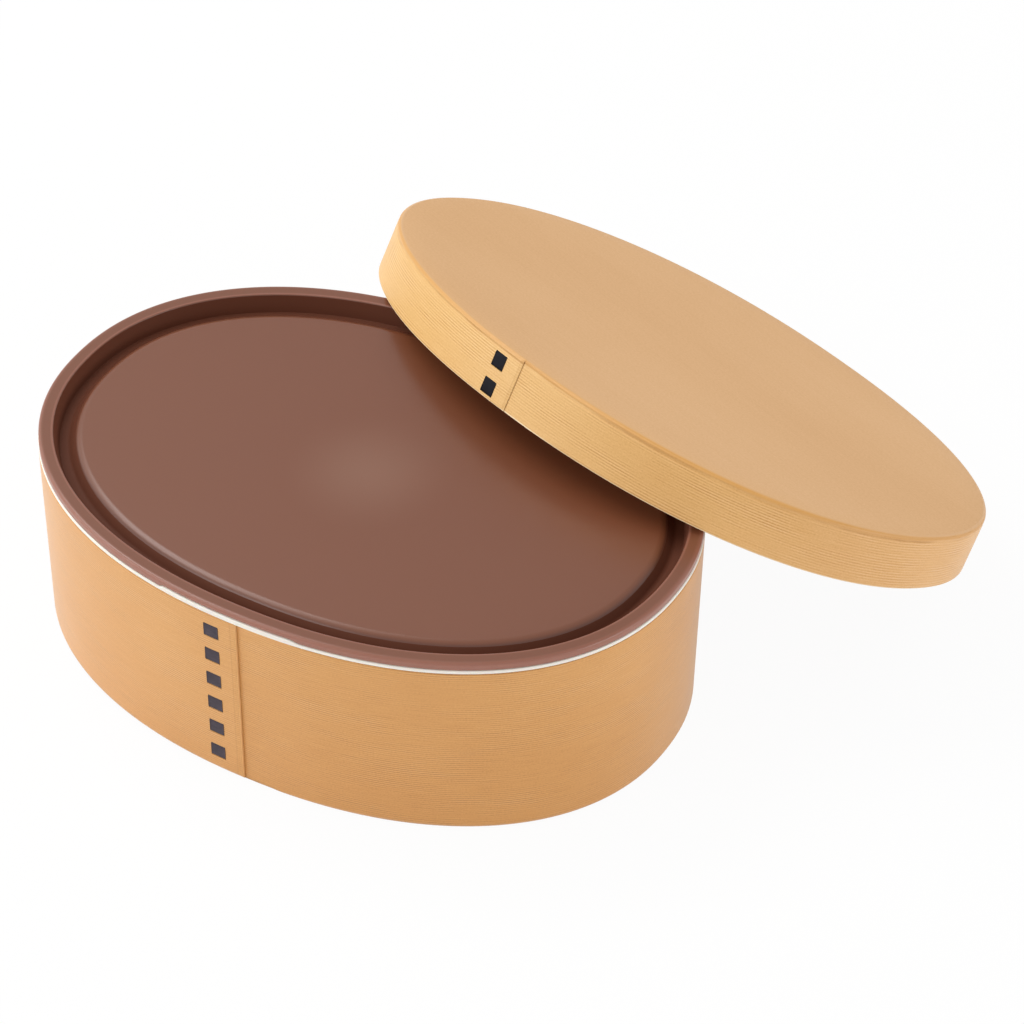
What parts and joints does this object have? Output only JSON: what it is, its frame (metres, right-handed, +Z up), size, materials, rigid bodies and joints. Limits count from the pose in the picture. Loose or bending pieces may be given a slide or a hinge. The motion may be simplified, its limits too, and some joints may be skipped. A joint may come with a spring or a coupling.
{
  "type": "bentwood lunch box",
  "caption": "Oval bentwood lunch box with lapped, bark-stitched bands, a white removable liner, a brown moated inner lid and a slip-over lid leaning on the open box.",
  "frame": {"origin": "middle of the bottom board's underside, on the surface that the box stands on", "axes": "+X along the oval's length, +Y to the back (the lap is at the front, -Y), +Z up; the outer lid is stored leaning on the back of the open box"},
  "size_m": [0.2244, 0.2215, 0.0795],
  "materials": {
    "body_wood": "satin, fine grain along the band",
    "base_wood": "matte",
    "bark": "satin, dark cherry bark",
    "white_plastic": "semi-gloss moulded",
    "brown_plastic": "satin moulded",
    "lid_wood": "satin, grooved grain along the band",
    "board_wood": "matte, very fine texture"
  },
  "bodies": {
    "box": {"body_band": "body_wood", "body_base": "base_wood", "body_stitch_1": "bark", "body_stitch_2": "bark", "body_stitch_3": "bark", "body_stitch_4": "bark", "body_stitch_5": "bark", "body_stitch_6": "bark"},
    "liner": {"inner_box": "white_plastic"},
    "inner_lid": {"inner_lid": "brown_plastic"},
    "outer_lid": {"lid_band": "lid_wood", "lid_board": "board_wood", "lid_stitch_1": "bark", "lid_stitch_2": "bark"}
  },
  "joints": [
    {"name": "liner_lift", "type": "slide", "parent": "box", "child": "liner", "axis": [0, 0, 1], "range_m": [0, 0.06]},
    {"name": "inner_lid_lift", "type": "slide", "parent": "liner", "child": "inner_lid", "axis": [0, 0, 1], "range_m": [0, 0.04]},
    {"name": "outer_lid_lift", "type": "slide", "parent": "inner_lid", "child": "outer_lid", "axis": [0, 0, 1], "range_m": [0, 0.06]}
  ]
}
